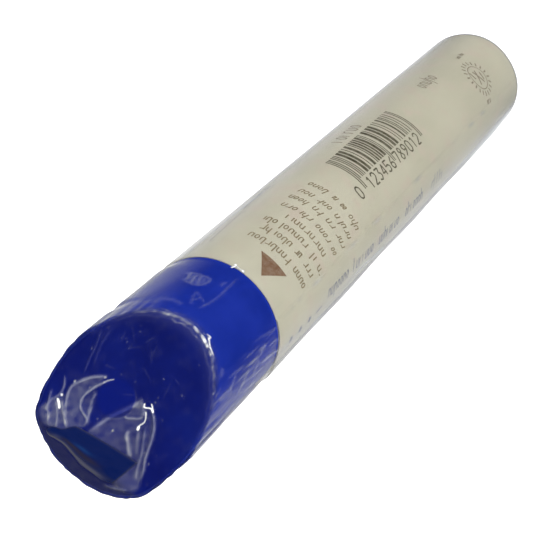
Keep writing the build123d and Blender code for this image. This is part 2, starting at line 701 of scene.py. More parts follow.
# %% [markdown]
# ## Figures beside the bars
#
# The figures count up from zero, so they name nothing. They could be cut from a font, but
# one stroke path for each is enough. They are drawn on a grid that is one wide and two high,
# and turned a quarter so that they read along the stick.

# %% The counting figures
FIGURES = {
    0: [(0, 0.4), (0, 1.6), (0.3, 2), (0.7, 2), (1, 1.6), (1, 0.4), (0.7, 0), (0.3, 0), (0, 0.4)],
    1: [(0.2, 1.6), (0.6, 2), (0.6, 0)],
    2: [(0, 1.6), (0.3, 2), (0.8, 2), (1, 1.6), (1, 1.2), (0, 0), (1, 0)],
    3: [(0, 2), (1, 2), (0.5, 1.2), (0.9, 1), (1, 0.5), (0.6, 0), (0, 0.2)],
    4: [(0.8, 0), (0.8, 2), (0, 0.6), (1, 0.6)],
    5: [(1, 2), (0.1, 2), (0, 1.1), (0.7, 1.2), (1, 0.8), (0.9, 0.2), (0.5, 0), (0, 0.2)],
    6: [(0.9, 2), (0.2, 1.2), (0, 0.5), (0.3, 0), (0.8, 0), (1, 0.5), (0.7, 1), (0.1, 0.9)],
    7: [(0, 2), (1, 2), (0.4, 0)],
    8: [(0.5, 1.1), (0.1, 1.5), (0.3, 2), (0.7, 2), (0.9, 1.5), (0.5, 1.1), (0, 0.5), (0.3, 0),
        (0.7, 0), (1, 0.5), (0.5, 1.1)],
    9: [(0.1, 0), (0.8, 0.8), (1, 1.5), (0.7, 2), (0.2, 2), (0, 1.5), (0.3, 1), (0.9, 1.1)],
}


def figure(number, x, y, wide, tall, width):
    """One figure, reading down the stick: right on the grid is down, and up is +x."""
    grid = np.array(FIGURES[number], float)
    path = np.stack([x + grid[:, 1] / 2 * tall, y - grid[:, 0] * wide], axis=1)
    return ribbon(path, width, 0.15)


def counting_row():
    """0 on its own, then 1 to 6 and 7, 8, 9, 0, 1, 2 in two groups."""
    places = [-33.2] + [-37.4 - 1.75 * k for k in range(6)] + [-48.4 - 1.75 * k for k in range(6)]
    numbers = [k % 10 for k in range(13)]
    return [figure(n, -2.35, y, wide=1.15, tall=2.0, width=0.28) for n, y in zip(numbers, places)]


figures = rolled("counting_figures", counting_row(), FRONT_OF_PRINT, PAPER_TOP)
dress(figures, dark_ink)

# %% [markdown]
# ## Small marks
#
# The rest of the print is faint: a short word beside the bars, a smaller one lower down, a
# ring of dashes near the foot, a ruled corner, and stars and words by the lap. All are
# strokes of the same kind as the small print, so that they match it.

# %% The small marks
def turned_word(x, y, length, size, width):
    """A scribbled word that reads down the stick: its length runs in -y and its height in +x."""
    strokes = []
    for points, quads in scribble(0, 0, length, size, 0.0, width):
        strokes.append((np.stack([x + points[:, 1], y - points[:, 0]], axis=1), quads))
    return strokes


def ring_of_dots(x, y, radius, count, dot):
    """A thin circle inside a ring of short radial dashes."""
    turn = np.linspace(0, 2 * np.pi, 49)
    round_path = np.stack([x + radius * np.cos(turn), y + radius * np.sin(turn)], axis=1)
    strokes = [ribbon(round_path, dot * 0.6, 0.3)]
    low = radius + 0.45
    for a in np.linspace(0, 2 * np.pi, count, endpoint=False):
        ends = [(x + r * math.cos(a), y + r * math.sin(a)) for r in (low, low + dot * 3)]
        strokes.append(ribbon(ends, dot, 0.5))
    return strokes


def star(x, y, size):
    """Three crossed dashes, 60 degrees apart."""
    strokes = []
    for a in np.radians([90, 30, -30]):
        dx, dy = size * math.cos(a), size * math.sin(a)
        strokes.append(ribbon([(x - dx, y - dy), (x + dx, y + dy)], 0.3, 0.6))
    return strokes


SIGN = [  # four strokes inside the ring
    [(-2.4, -90.9), (0.4, -89.6)],
    [(-2.4, -89.2), (0.4, -90.6)],
    [(-2.0, -91.3), (-0.4, -91.6)],
    [(-1.0, -88.7), (0.6, -88.5)],
]


def small_marks():
    """A word beside the bars, one lower down, and a ring with a sign and two words round it."""
    strokes = turned_word(6.9, -44.3, 8.6, 1.9, 0.26)
    strokes += turned_word(4.0, -73.9, 6.6, 1.7, 0.22)
    strokes += ring_of_dots(-1.0, -90.1, 2.5, 20, 0.30)
    strokes += [ribbon(ends, 0.34, 0.4) for ends in SIGN]
    strokes += turned_word(4.0, -91.5, 3.0, 0.6, 0.18)
    strokes += turned_word(-6.2, -88.3, 2.0, 0.8, 0.18)
    return strokes


def pale_marks():
    """A ruled corner and a word, at the edge of the print."""
    corner = [(8.9, -5.3), (9.7, -5.3), (10.1, -15.5), (9.3, -15.7)]
    strokes = [ribbon(corner, 0.14, 0.5)]
    strokes += turned_word(10.6, -17.5, 9.0, 0.9, 0.18)
    return strokes


def lap_marks():
    """Three stars, a dash and five words, one below the other."""
    strokes = []
    for y in (-3.9, -6.9, -9.9):
        strokes += star(0, y, 0.55)
    strokes.append(ribbon([(-0.1, -12.2), (0.1, -14.0)], 0.3, 0.5))
    for y, length in ((-16.0, 7.5), (-25.0, 8.0), (-35.0, 8.5), (-46.0, 8.0), (-58.0, 6.0)):
        strokes += turned_word(0.4, y, length, 1.4, 0.24)
    return strokes


mark_piece = rolled("small_marks", small_marks(), FRONT_OF_PRINT, PAPER_TOP)
dress(mark_piece, ink("faded_ink", (0.235, 0.195, 0.150)))
rule_piece = rolled("ruled_corner", pale_marks(), FRONT_OF_PRINT, PAPER_TOP)
dress(rule_piece, ink("grey_ink", (0.28, 0.26, 0.22)))
lap_piece = rolled("lap_stars", lap_marks(), math.radians(-163), PAPER_TOP)
dress(lap_piece, ink("pale_blue_grey_ink", (0.17, 0.185, 0.25)))

# %% [markdown]
# ## The clear film
#
# Shrink film lies tight on the paper, steps down to the bare paint, and gathers into folds
# over the end. It is one closed skin. Folds are lines drawn on the end: each lifts the film
# in a narrow ridge, and each makes it less clear, because folded film scatters light. Cloth
# physics could make folds too, but they would fall differently in every version.

# %% Places on the end, and lines drawn there
NOSE_EDGE = NOSE_DROP / math.sin(SLANT) / MM  # slope length from the axis to the nose, in mm
FILM_OFF_END = 0.10 * MM  # how far the film stands off the end


def up_slope(y):
    """Length up the slanted face from the stick's axis, in mm: y / cos(slant) as far as the
    nose, and from there on along y, so that it runs over the nose's edge without a jump."""
    edge_y = NOSE_DROP / math.tan(SLANT)
    return np.where(y < edge_y, y / math.cos(SLANT), NOSE_EDGE * MM + y - edge_y) / MM


def smooth_line(points, each=12):
    """A curve through the points (Catmull-Rom): (2b + (c-a)t + (2a-5b+4c-d)t^2 +
    (3b-a-3c+d)t^3) / 2 between b and c."""
    p = np.asarray(points, float)
    p = np.concatenate([[2 * p[0] - p[1]], p, [2 * p[-1] - p[-2]]])
    a, b, c, d = (p[k : len(p) - 3 + k, None, :] for k in range(4))
    t = np.linspace(0, 1, each, endpoint=False)[None, :, None]
    square, cube = 2 * a - 5 * b + 4 * c - d, 3 * b - a - 3 * c + d
    bends = (2 * b + (c - a) * t + square * t**2 + cube * t**3) / 2
    return np.concatenate([bends.reshape(-1, 2), p[-2:-1]])


def distance_to(x, v, line):
    """Distance of each place to the nearest point of a line, and how far along the line,
    from 0 to 1, that point is."""
    gap = np.hypot(x[..., None] - line[:, 0], v[..., None] - line[:, 1])
    return gap.min(axis=-1), gap.argmin(axis=-1) / (len(line) - 1)


def ridge(x, v, points, width, taper=0.15):
    """exp(-(d / width)^2) round a line, fading out at both of its ends."""
    gap, along = distance_to(x, v, smooth_line(points))
    return bell(gap, width) * window(-0.01, taper, 1 - taper, 1.01, along)


def patch(x, v, points, soft=0.35):
    """1 inside a closed outline and 0 outside, over a soft edge: a place is inside when a
    line drawn from it crosses the outline an odd number of times."""
    loop = smooth_line(list(points) + [points[0]], 8)
    (xa, va), (xb, vb) = loop[:-1].T, loop[1:].T
    level = (va > v[..., None]) != (vb > v[..., None])
    cross = xa + (v[..., None] - va) * (xb - xa) / np.where(vb == va, 1e-9, vb - va)
    inside = (level & (x[..., None] < cross)).sum(axis=-1) % 2
    gap, _ = distance_to(x, v, loop)
    return smooth_step(-soft, soft, gap * (2 * inside - 1))


# %% [markdown]
# ## The folds
#
# Places are (x, v) in mm, where x runs across the end and v up its slope. Each fold has a
# width, a lift and a haze. The folds run from the gathered tab below the nose out to where
# the film touches the paint in a round spot near the axis. Folds drawn by a random rule
# would not meet the tab and the spot.

# %% Folds, hazy patches and glints
FOLDS = [  # line, width, lift, haze
    ([(3.8, -2.0), (4.9, -1.1), (5.8, -0.1), (6.4, 1.1), (6.6, 2.0), (6.2, 3.2), (5.4, 4.4),
      (4.0, 5.9)], 0.16, 0.16, 0.26),
    ([(3.0, -2.0), (3.9, -0.8), (4.5, 0.6), (4.7, 1.9), (4.4, 2.8), (3.7, 3.3), (2.6, 3.7),
      (2.5, 4.9)], 0.13, 0.14, 0.30),
    ([(3.7, 0.4), (3.6, 1.5), (3.1, 2.7), (2.5, 3.7)], 0.12, 0.10, 0.16),
    ([(3.1, 2.0), (2.9, 2.7), (2.1, 4.3)], 0.12, 0.08, 0.14),
    ([(1.6, 5.1), (1.0, 3.0), (0.5, 1.5), (-0.2, 0.1), (-0.7, -0.9),
      (-1.2, -2.4)], 0.22, 0.22, 0.20),
    ([(-0.7, 0.6), (-1.2, 0.5), (-2.2, -0.2), (-2.6, -0.7)], 0.14, 0.12, 0.24),
    ([(-1.1, -2.3), (-2.2, -1.3), (-2.6, -0.8)], 0.16, 0.12, 0.12),
    ([(-2.2, 1.6), (-2.5, 2.3), (-3.2, 2.9), (-3.8, 3.5), (-4.5, 3.9)], 0.22, 0.14, 0.32),
    ([(-2.3, -1.9), (-3.3, -1.8), (-4.5, -0.6), (-5.2, 0.8), (-5.5, 1.7), (-6.0, 3.0),
      (-6.7, 4.3), (-7.1, 5.6)], 0.15, 0.20, 0.22),
    ([(-3.5, -0.2), (-4.4, 1.4), (-5.3, 3.0), (-6.0, 4.7), (-6.6, 5.7)], 0.14, 0.14, 0.13),
    ([(-3.2, 0.9), (-3.9, 2.0), (-4.9, 3.4)], 0.2, 0.10, 0.14),
    ([(8.2, 1.2), (7.4, 2.2), (7.2, 3.4), (7.6, 4.8), (7.2, 6.4)], 0.13, 0.12, 0.18),
    ([(6.6, 3.7), (5.6, 4.6), (4.8, 5.3), (3.9, 6.1)], 0.16, 0.16, 0.30),
    ([(7.2, 4.2), (6.3, 5.0), (5.4, 6.2), (5.0, 7.0)], 0.12, 0.10, 0.20),
    ([(8.4, 3.4), (7.6, 5.0), (6.6, 6.4), (5.8, 7.5)], 0.14, 0.14, 0.16),
    ([(7.7, 5.6), (6.8, 5.9), (6.2, 6.9)], 0.10, 0.08, 0.16),
    ([(8.2, -6.1), (7.4, -4.0), (7.0, -2.2), (6.4, -0.3)], 0.10, 0.06, 0.045),
    ([(7.2, -6.6), (6.9, -4.2), (6.1, -1.8)], 0.12, 0.06, 0.03),
    ([(-3.8, 9.2), (-5.4, 8.3), (-6.6, 7.3)], 0.18, 0.12, 0.10),
]
PATCHES = [  # outline, haze
    ([(4.1, -1.8), (5.7, -0.2), (6.5, 2.0), (5.4, 4.4), (4.0, 5.9), (2.6, 4.8), (3.7, 3.3),
      (4.6, 1.8), (4.3, 0.2)], 0.095),
    ([(3.9, 0.4), (4.4, 2.0), (3.6, 3.3), (2.3, 4.4), (3.0, 2.2), (3.4, 1.2)], 0.06),
    ([(1.6, 5.0), (0.9, 2.8), (-0.2, 0.1), (-0.9, -1.2), (-2.6, -0.8), (-3.2, 1.0), (-4.4, 3.0),
      (-5.5, 3.9), (-2, 4.6)], 0.068),
    ([(-1.1, -2.2), (-2.4, -1.7), (-2.7, -0.9), (-1.6, -1.0), (-0.8, -1.0)], 0.13),
    ([(-2.9, -1.7), (-4.5, -0.6), (-5.4, 1.6), (-6.7, 4.3), (-7.0, 5.7), (-5.6, 4.2),
      (-4.2, 2.4), (-3.2, 0.9), (-3.0, -0.4)], 0.05),
    ([(-5.4, 4.0), (-7.1, 5.5), (-7.3, 6.9), (-5.0, 8.4), (-4.4, 7.4)], 0.085),
    ([(6.6, 3.3), (7.4, 4.4), (8.0, 6.2), (6.4, 7.4), (4.6, 6.6), (4.1, 6.0), (5.6, 4.6)], 0.12),
    ([(8.6, 6.0), (5.8, 8.2), (3.2, 8.4), (0, 9.2), (-3.4, 9.0), (-7.4, 7.2), (-9.4, 5.0),
      (-7.4, 9.2), (0, 12.2), (7.6, 8.8)], 0.017),
]
# Glints are painted highlights: bright lines on the folds, laid into the film's pale layer.
GLINTS = [  # line, width, brightness
    ([(-1.7, -2.2), (-1.9, -1.8), (-2.2, -1.8), (-2.7, -2.1), (-3.2, -2.0)], 0.07, 1.0),
    ([(-3.3, -1.9), (-2.9, -2.2), (-2.4, -2.6)], 0.07, 1.0),
    ([(-2.4, -1.5), (-2.8, -1.0), (-3.1, -0.3), (-2.9, 0.4), (-3.0, 0.9)], 0.07, 0.8),
    ([(-2.9, 0.5), (-3.0, 0.8), (-3.0, 1.0)], 0.14, 1.2),
    ([(7.1, 4.0), (6.6, 4.3), (6.1, 4.8)], 0.12, 1.3),
    ([(7.0, 3.2), (6.9, 3.4)], 0.12, 0.8),
    ([(-0.6, 2.8), (-0.8, 2.95)], 0.13, 0.35),
    ([(3.9, -1.7), (4.2, -1.5)], 0.1, 0.35),
    ([(3.0, -2.1), (3.5, -1.6), (3.9, -0.9)], 0.06, 0.5),
    ([(6.6, 0.9), (6.8, 1.2)], 0.12, 0.4),
]


def scattered(draw, count, *ranges):
    """count rows of numbers, each drawn evenly from its own range."""
    return np.stack([draw.uniform(low, high, count) for low, high in ranges], axis=1)


draw = np.random.default_rng(77)
specks = scattered(draw, 46, (-8, 8), (-11, 6), (0.05, 0.10), (0.05, 0.28))  # x, v, size, light
scratches = scattered(draw, 16, (-7, 7), (-11, 0), (0, 3.1), (0.8, 3.5))  # x, v, turn, length


def end_film(x, y):
    """Lift in mm, haze and glint of the film at each place on the end: sums over the folds,
    patches and glints. The glints, and a faint bright ring round the pressed spot, are painted
    highlights."""
    x, v = x / MM, up_slope(y)
    shade = 1 + 0.36 * ripples(x, v, 5, 14, 1.5, 7.0)
    lift = 0.012 * ripples(x, v, 6, 9, 0.5, 2.5)
    haze = 0.004 * np.maximum(0, ripples(x, v, 7, 12, 1.0, 6.0))
    for line, width, height, dull in FOLDS:
        peak = ridge(x, v, line, width)
        lift = lift + height * ridge(x, v, line, 1.6 * width)
        haze = haze + 0.85 * dull * peak * (0.6 + 0.4 * shade)
    for outline, dull in PATCHES:
        haze = haze + 0.75 * dull * np.maximum(shade, 0.2) * patch(x, v, outline)
    spot = np.hypot(x - SPOT_X, v - SPOT_V)
    haze = haze * (0.25 + 0.75 * smooth_step(2.2, 2.5, spot))
    # A faint painted highlight round the rim of the spot.
    rim_of_spot = bell(spot - 2.45, 0.09) * smooth_step(0.2, 1.0, (SPOT_X - x) / 2.4)
    glint = 0.035 * rim_of_spot
    for line, width, bright in GLINTS:
        glint = glint + bright * ridge(x, v, line, width, 0.1)
    for sx, sv, size, bright in specks:
        glint = glint + bright**1.3 * np.exp(-(((x - sx) ** 2 + (v - sv) ** 2) / size**2))
    for sx, sv, turn, length in scratches:
        ends = [(sx, sv), (sx + length * math.cos(turn), sv + length * math.sin(turn))]
        haze = haze + 0.022 * ridge(x, v, ends, 0.09, 0.3)
    return lift, haze, glint


# %% [markdown]
# ## The side of the film
#
# Over the paper the film is tight, but for one loose fin along the stick. Over the bare
# paint it stretches from the paper's edge to the slanted rim, so it stands a little off the
# paint. Along the rim it is crinkled, and a broken bright line along the crinkles is a
# painted highlight. Pale bands near the outline are painted reflection. One radius all
# round would be simpler, but shrunk film is never that even.

# %% Radius and haze of the side
film_angles = np.linspace(0, 2 * np.pi, 352, endpoint=False)
VIEWED_FROM = -101  # the camera's direction, in degrees
SLACK = [  # where the film bridges from the paper to the rim: direction, width, heights, gap
    (-24, 15, 106.5, 119.0, 0.30),
    (-14, 16, 118.5, 133.0, 0.34),
    (-187, 14, 103.0, 128.0, 0.30),
    (110, 50, 118.0, 134.0, 0.34),
    (35, 25, 118.0, 134.0, 0.15),
]


def turn_gap(angle, degrees):
    """Signed angle from a direction, in degrees, between -180 and 180."""
    return (np.degrees(angle) - degrees + 180) % 360 - 180


def jitter(angle, seed, count):
    """A value for each of count equal sectors round the stick, drawn evenly from -1 to 1,
    with straight lines between them."""
    values = np.random.default_rng(seed).uniform(-1, 1, count)
    at = (angle / (2 * np.pi) % 1) * count
    low = np.floor(at).astype(int) % count
    return values[low] + (values[(low + 1) % count] - values[low]) * (at - np.floor(at))


def film_radius(angle, z):
    """Over the paper: just inside the wrap's radius, and 0.34 mm more in a loose fin. Over
    the paint: 0.11 mm off it, and up to 0.34 mm more where the film is slack."""
    noise_of_paper = 0.012 * MM * around_noise(angle, z, 11, 9, 30 * MM)
    fin = 0.34 + 0.05 * around_noise(angle, z, 13, 9, 25 * MM)
    fin = fin * bell(turn_gap(angle, -187), 13) * smooth_step(0.5, 12, z / MM)
    crimp = 0.10 * jitter(angle, 71, 13) * (1 - smooth_step(0, 5, z / MM))
    over_paper = WRAP_RADIUS - 0.02 * MM + noise_of_paper + (fin + crimp) * MM
    over_paint = BAR_RADIUS + 0.11 * MM + 0.012 * MM * around_noise(angle, z, 12, 20, 9 * MM)
    over_paint = over_paint + 0.08 * MM * jitter(angle, 61, 110) * smooth_step(116, 124, z / MM)
    for degrees, wide, low, high, off in SLACK:
        span = window(low, low + 2.5, high - 1.2, high, z / MM)
        over_paint = over_paint + off * MM * bell(turn_gap(angle, degrees), wide) * span
    step = smooth_step(PAPER_TOP + 0.1 * MM, PAPER_TOP + 0.9 * MM, z)
    return over_paper + (over_paint - over_paper) * step


OVAL = [
    (-53.6, 111.4), (-55, 110.6), (-60.6, 110.2), (-67.3, 110.2), (-72.8, 110.2), (-75.3, 110.7),
    (-74.4, 111.8), (-71.1, 112.6), (-65.5, 112.8), (-59.2, 112.4), (-54.5, 111.8),
]
SIDE_LINES = [  # line in degrees and mm, width in mm, haze
    (OVAL, 0.22, 0.10),
    ([(-58.4, 110.3), (-61.0, 112.3)], 0.26, 0.16),
    ([(-63.0, 110.4), (-66.0, 112.7)], 0.26, 0.17),
    ([(-67.2, 110.3), (-70.4, 112.5)], 0.26, 0.15),
    ([(-71, 110.4), (-72.5, 111.8)], 0.2, 0.08),
    ([(-88.8, 106.8), (-89.4, 109.9), (-89.6, 112.2), (-88.2, 114.8), (-86.0, 116.8)], 0.18, 0.06),
    ([(-74.4, 113.9), (-77.1, 115.7), (-79.7, 117.0)], 0.18, 0.05),
    ([(-74.4, 113.9), (-80, 114.5), (-85.8, 115.2)], 0.18, 0.05),
    ([(-77.4, 115.9), (-79.5, 115.4), (-80.9, 114.7)], 0.16, 0.04),
    ([(-84, 110.6), (-85, 109.6), (-87, 109.4)], 0.25, 0.05),
    ([(-144.0, 109.2), (-145.5, 110.0), (-146.9, 110.9)], 0.42, 0.12),
    ([(-130.2, 120.1), (-132, 120.4), (-135.1, 120.9)], 0.35, 0.07),
    ([(-147.0, 110.4), (-150.1, 112.2), (-153.3, 113.9)], 0.25, 0.10),
    ([(-149.8, 113.9), (-154, 115.2), (-157.8, 116.0), (-163.0, 117.4)], 0.30, 0.16),
    ([(-152, 111.0), (-155, 112.2), (-160, 113.0)], 0.25, 0.14),
    ([(-150.4, 122.5), (-151.5, 120.4), (-150.9, 118.8)], 0.45, 0.14),
    ([(-143, 117.5), (-147, 118.6), (-152, 119.4)], 0.3, 0.08),
    ([(-52, 118.3), (-60, 117.8), (-68, 117.6), (-76, 117.9)], 0.4, 0.045),
    ([(-46, 119.9), (-54, 118.9), (-60, 118.7)], 0.4, 0.05),
    # A pale line along the lap's edge: the film bridging the step, and a painted highlight where the
    # paper's cut edge catches the light.
    ([(-135.9, 2), (-135.9, 40), (-135.9, 80), (-135.9, 105)], 0.32, 0.24),
]
# Painted highlights: at the paper's edge, and along the slanted rim.
SIDE_GLINTS = [  # line in degrees and mm, width in mm, brightness
    ([(-79.2, 106.0), (-80.7, 105.6), (-79.9, 104.9)], 0.11, 1.0),
    ([(-79.7, 105.0), (-83.8, 105.4), (-88.9, 105.5)], 0.11, 0.6),
    ([(-87.0, 105.2), (-88.2, 105.4), (-89.1, 105.6)], 0.13, 0.9),
    ([(-106, 119.5), (-109, 119.9), (-113, 120.4), (-118, 120.8), (-122, 121.2)], 0.10, 1.0),
    ([(-104, 119.4), (-107, 119.2), (-108, 119.8)], 0.08, 0.9),
]


def unrolled(line):
    """A line in degrees and mm on the side, as lengths in mm from the front and heights."""
    return [((degrees + 90) * math.radians(1) * 10, height) for degrees, height in line]


def side_film(angle, z):
    """Haze and glint of the side: streaks along the stick at its shaded side, and pale bands
    at the upper left and near the outline, all painted reflection; a sheen at the upper left
    and a lighter loose fin, both painted highlights; drawn marks, and whitening where the film
    gathers at the far end."""
    across, height = turn_gap(angle, -90) * math.radians(1) * 10, z / MM
    right = -turn_gap(angle, VIEWED_FROM)  # degrees round from the camera's side
    paint = smooth_step(PAPER_TOP, PAPER_TOP + 0.6 * MM, z)
    paper = 1 - paint
    foot = 1 - smooth_step(6, 36, height)
    # Streaks and pale bands set by the angle from the camera: painted reflection near the outline.
    streak = smooth_step(-0.3, 2.2, around_noise(angle, z, 21, 110, 5 * MM, 40)) ** 1.5
    cloud = smooth_step(0.0, 1.6, around_noise(angle, z, 23, 30, 12 * MM, 20))
    upper_left_reflection = bell(turn_gap(angle, -33), 16) * paper * smooth_step(40, 100, height)
    shaded_side_reflection = smooth_step(48, 74, right) * (right > 0) * paper
    both_sides = smooth_step(52, 76, np.abs(right)) * (1 - smooth_step(8, 30, height))
    loose = bell(turn_gap(angle, -189), 6) * smooth_step(8, 30, height)
    haze = 0.30 * streak * window(28, 46, 80, 110, right) * paint + 0.03 * streak * paper
    haze = haze + (0.05 + 0.22 * cloud) * upper_left_reflection
    haze = haze + (0.10 + 0.22 * cloud) * shaded_side_reflection
    haze = haze + (0.16 + 0.2 * cloud) * both_sides
    haze = haze + 0.45 * (1 - smooth_step(0.5, 1.1, height))
    haze = haze + 0.45 * foot * window(62, 82, 96, 116, right)
    haze = haze + loose * 0.30 * (1 - 0.5 * paint)
    haze = haze + (0.13 + 0.10 * cloud) * bell(turn_gap(angle, -27), 12) * paint
    # Sheen at the upper left and the lighter loose fin: painted highlights.
    sheen = bell(turn_gap(angle, -29), 7) * paper * smooth_step(78, 98, height)
    glint = 0.36 * sheen * (0.7 + 0.3 * cloud) + 0.32 * loose * paper
    for line, width, dull in SIDE_LINES:
        haze = haze + dull * ridge(across, height, unrolled(line), width)
    for line, width, bright in SIDE_GLINTS:
        glint = glint + bright * ridge(across, height, unrolled(line), width, 0.08)
    return haze, glint


RIM_LINES = [  # seed, distance in from the rim, how far it wanders, strength
    (51, 0.05, 0.09, 1.0),
    (52, 0.34, 0.24, 0.4),
    (53, -0.4, 0.25, 0.3),
]


def rim_film(angle, gap):
    """Lift in mm, haze and glint of the crinkled rim, gap mm away from it: three thin lines
    that wander along the rim, with a brightness that changes every degree or two. The glint is
    a painted highlight."""
    front = bell(turn_gap(angle, -92), 52)
    # Where the painted highlight is brightest.
    bright = bell(turn_gap(angle, -110), 26) + 0.35 * bell(turn_gap(angle, -72), 20)
    lift = haze = glint = 0 * gap
    for seed, middle, wander, strength in RIM_LINES:
        line = middle + wander * (0.6 * jitter(angle, seed, 70) + 0.4 * jitter(angle, seed + 10, 160))
        band = bell(gap - line, 0.075) * strength
        level = jitter(angle, seed + 20, 176)
        broad = jitter(angle, seed + 30, 60)
        lift = lift + 0.05 * band * front * (1 + level)
        dull = 0.02 + 0.20 * front * smooth_step(-0.9, 1.0, level)
        haze = haze + dull * band * np.where(gap > 0.15, 0.5, 1)
        spark = smooth_step(-0.05, 1.0, 0.55 * (level + broad)) ** 1.3
        glint = glint + 0.75 * band * bright * (0.06 + 0.94 * spark)
    return lift, haze + 0.03 * front * bell(gap, 0.8), glint


# %% [markdown]
# ## One skin for the film
#
# The rings of the foot, the side and the end join without a gap, and every point carries
# its haze and its glint. Three separate sheets would show their seams where they meet.

# %% Build the film
END_RINGS = 108
LOWER_ROWS = 66  # up the paper, closer together at its foot and at its edge
UPPER_ROWS = 88  # up the paint
RIM_SWING = 6.6 * MM  # half the difference in height round the slanted rim
FILM_ROUND = 0.5 * MM


def build_film():
    """Foot, side and end in one stack of rings. The end's rings move out along the normal
    of the face that they lie on, by the film's stand-off and its lift."""
    top_radius = film_radius(film_angles, NOSE - (1 - np.sin(film_angles)) * RIM_SWING)
    inward = np.linspace(0, 1, END_RINGS + 1)[:-1] ** 1.1
    rho = (1 - inward)[:, None] * top_radius
    x, y = rho * np.cos(film_angles), rho * np.sin(film_angles)
    into = np.clip(FILM_ROUND - (top_radius - rho), 0, FILM_ROUND)
    fall = FILM_ROUND - np.sqrt(FILM_ROUND**2 - into**2)
    lift, haze, glint = end_film(x, y)
    rim = rim_film(film_angles + 0 * x, (top_radius - rho) / MM)
    inner = smooth_step(0, FILM_ROUND, top_radius - rho)
    raised = np.maximum(lift, 0) * inner + np.maximum(rim[0], 0)
    end = np.stack([x, y, end_height(x, y, FILM_OFF_END) - fall + raised * MM], axis=-1)

    foot = foot_rings(film_angles, film_radius(film_angles, 0 * film_angles) - 0.2 * MM, 0.0, 6)
    share = (1 - np.cos(np.linspace(0, np.pi, LOWER_ROWS))) / 2
    lower = (0.25 + (PAPER_TOP / MM - 0.85) * share[:, None] + 0 * film_angles) * MM
    share = np.linspace(0, 1, UPPER_ROWS + 1)[1:-1, None]
    upper = lower[-1] + (end[0, :, 2] - lower[-1]) * share
    height = np.concatenate([lower, upper])
    r = film_radius(film_angles, height)
    r = r + (top_radius - r) * smooth_step(-1.5, 0, (height - end[0, :, 2]) / MM)
    side = np.stack([r * np.cos(film_angles), r * np.sin(film_angles), height], axis=-1)
    side_haze_and_reflection, side_glint = side_film(film_angles, height)
    side_rim = rim_film(film_angles + 0 * height, (height - end[0, :, 2]) / MM)

    gather = 0.10 + 0.08 * np.sin(23 * film_angles) * np.sin(9 * film_angles + 1)
    foot_haze = gather * np.linspace(0.2, 1, len(foot))[:, None]
    rings = np.concatenate([foot, side, end])
    hazes = np.concatenate([foot_haze, side_haze_and_reflection + side_rim[1], haze + rim[1]])
    glints = np.concatenate([0 * foot_haze, side_glint + side_rim[2], glint + rim[2]])
    skin = closed_skin("clear_film_skin", (0, 0, 0), rings, end[-1].mean(axis=0))
    for name, values in (("haze", hazes), ("glint", glints)):
        poles = values[[0, -1]].mean(axis=1)
        paint_attribute(skin, name, np.clip(np.append(values.ravel(), poles), 0, 1.5))
    print("film haze", hazes.min(), hazes.max(), "glint", glints.max())
    return skin


film_skin = build_film()
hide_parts("film_wrap")
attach(film_skin, ROOT)

# %% [markdown]
# ## The folded tab
#
# The gathered end of the film is pressed flat below the nose, where several layers lie on
# each other. It is coloured darker and glossier than the film round it, with a blue painted
# highlight, and its free edge along the nose is pale. It is a thin closed sheet that follows
# the end, a little above it.
# It could be one more fold of the skin, but the skin can't lie over itself.

# %% Build the tab
def across_line(points, share):
    """Places at given shares of a line's length, by straight interpolation."""
    line = smooth_line(points)
    run = np.concatenate([[0], np.cumsum(np.hypot(*np.diff(line, axis=0).T))])
    return np.stack([np.interp(share * run[-1], run, line[:, k]) for k in (0, 1)], axis=-1)


def on_the_end(x, v, above):
    """The reverse of up_slope: the point over (x, v) in mm, above mm higher than the film."""
    y = np.where(v < NOSE_EDGE, v * math.cos(SLANT), NOSE_DROP / MM / math.tan(SLANT) + v - NOSE_EDGE)
    z = end_height(x * MM, y * MM, FILM_OFF_END)
    return np.stack([x * MM, y * MM, z + above * MM], axis=-1)


LOW_EDGE = [
    (5.9, 7.7), (5.3, 6.9), (4.3, 6.4), (3.6, 5.6), (3.0, 5.1), (1.0, 4.7), (-1.1, 4.4),
    (-3.4, 4.1), (-5.5, 3.9),
]
HIGH_EDGE = [
    (5.9, 7.8), (5.2, 8.4), (4.3, 8.1), (3.2, 8.0), (1.6, 8.4), (0.0, 8.8), (-1.7, 8.8),
    (-3.3, 8.6), (-4.6, 8.0),
]


